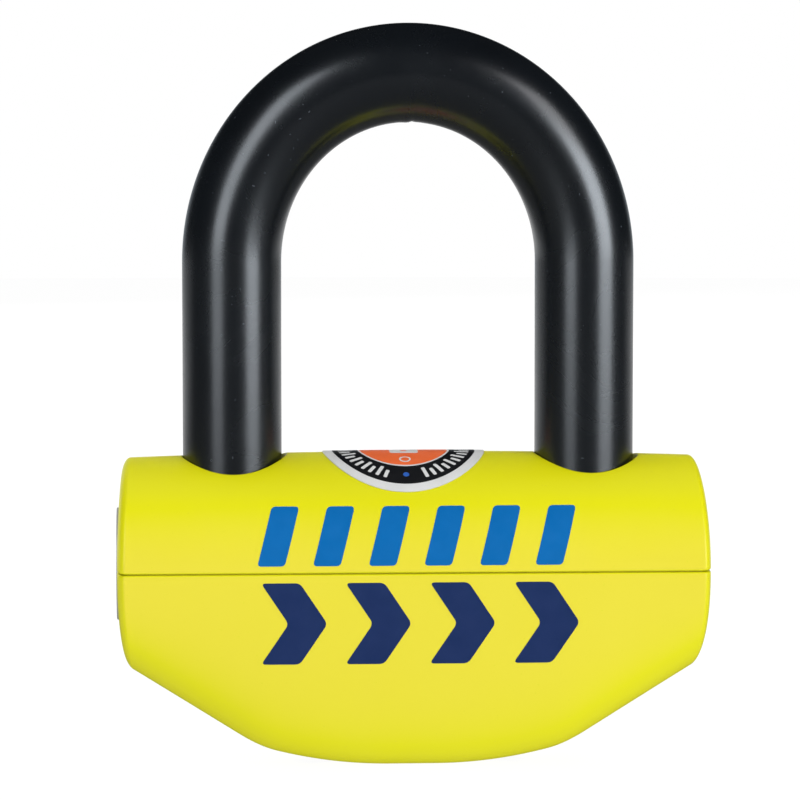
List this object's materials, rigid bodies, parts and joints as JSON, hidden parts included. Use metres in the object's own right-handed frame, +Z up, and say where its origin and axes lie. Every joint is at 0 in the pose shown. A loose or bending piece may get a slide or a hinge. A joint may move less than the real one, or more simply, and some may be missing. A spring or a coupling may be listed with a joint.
{
  "type": "motorcycle disc brake lock",
  "caption": "Disc brake lock: a coated U shackle plugged into a steel lock body inside a two-part moulded casing, with a keyed disc-detainer cylinder in one end.",
  "frame": {"origin": "middle of the flat under the casing", "axes": "+X along the casing, the key face is at -X; +Z up the shackle legs; the printed front faces -Y"},
  "size_m": [0.0957, 0.032, 0.1204],
  "materials": {
    "yellow_casing": "fluorescent yellow moulding, satin",
    "black_coating": "black flexible coating, semi-matte",
    "label_film": "printed film, satin",
    "hardened_steel": "ground and hardened",
    "cast_steel": "cast, dark, matt",
    "brass": "turned brass",
    "plated_zinc": "satin plated die casting",
    "stainless_sheet": "stamped stainless sheet"
  },
  "bodies": {
    "lock": {"lock_body": "cast_steel", "upper_cover": "yellow_casing", "lower_cover": "yellow_casing", "round_label": "label_film", "lower_cover_screw_left": "hardened_steel", "lower_cover_screw_right": "hardened_steel", "access_plate": "hardened_steel", "access_plate_screw_left": "hardened_steel", "access_plate_screw_right": "hardened_steel", "bolt_channel_plug": "hardened_steel", "cylinder_retaining_pin": "hardened_steel", "cylinder_barrel": "brass", "drum_thrust_washer": "stainless_sheet", "lock_face_bezel": "plated_zinc", "dust_cover_rivet": "hardened_steel", "dust_cover_washer": "stainless_sheet"},
    "shackle": {"shackle_core": "hardened_steel", "shackle_sleeve": "black_coating"},
    "rotor": {"cylinder_core": "brass", "sidebar": "hardened_steel", "drill_guard": "hardened_steel", "rotor_tailpiece": "hardened_steel", "core_snap_ring": "stainless_sheet", "cam_drum": "hardened_steel", "detainer_disc_1": "brass", "detainer_disc_2": "brass", "detainer_disc_3": "brass", "detainer_disc_4": "brass", "detainer_disc_5": "brass", "detainer_disc_6": "brass", "spacer_washer_1": "brass", "spacer_washer_2": "brass", "spacer_washer_3": "brass", "spacer_washer_4": "brass", "spacer_washer_5": "brass"},
    "bolt_left": {"locking_bolt_left": "hardened_steel", "follower_pin_left": "hardened_steel"},
    "bolt_right": {"locking_bolt_right": "hardened_steel", "follower_pin_right": "hardened_steel"},
    "dust_cover": {"dust_cover": "stainless_sheet"}
  },
  "joints": [
    {"name": "shackle_slide", "type": "slide", "parent": "lock", "child": "shackle", "axis": [0, 0, 1], "range_m": [0, 0.045]},
    {"name": "core_turn", "type": "hinge", "parent": "lock", "child": "rotor", "pos_m": [-0.03, 0, 0.029], "axis": [1, 0, 0], "range_deg": [0, 90]},
    {"name": "bolt_left_slide", "type": "slide", "parent": "lock", "child": "bolt_left", "axis": [-1, 0, 0], "range_m": [0, 0.005]},
    {"name": "bolt_right_slide", "type": "slide", "parent": "lock", "child": "bolt_right", "axis": [1, 0, 0], "range_m": [0, 0.005]},
    {"name": "dust_cover_swing", "type": "hinge", "parent": "lock", "child": "dust_cover", "pos_m": [-0.0476, 0, 0.0339], "axis": [1, 0, 0], "range_deg": [-80, 80]}
  ],
  "couplings": [
    {"joint": "bolt_left_slide", "follows": "core_turn", "m_per_rad": 0.003183},
    {"joint": "bolt_right_slide", "follows": "core_turn", "m_per_rad": 0.003183}
  ]
}
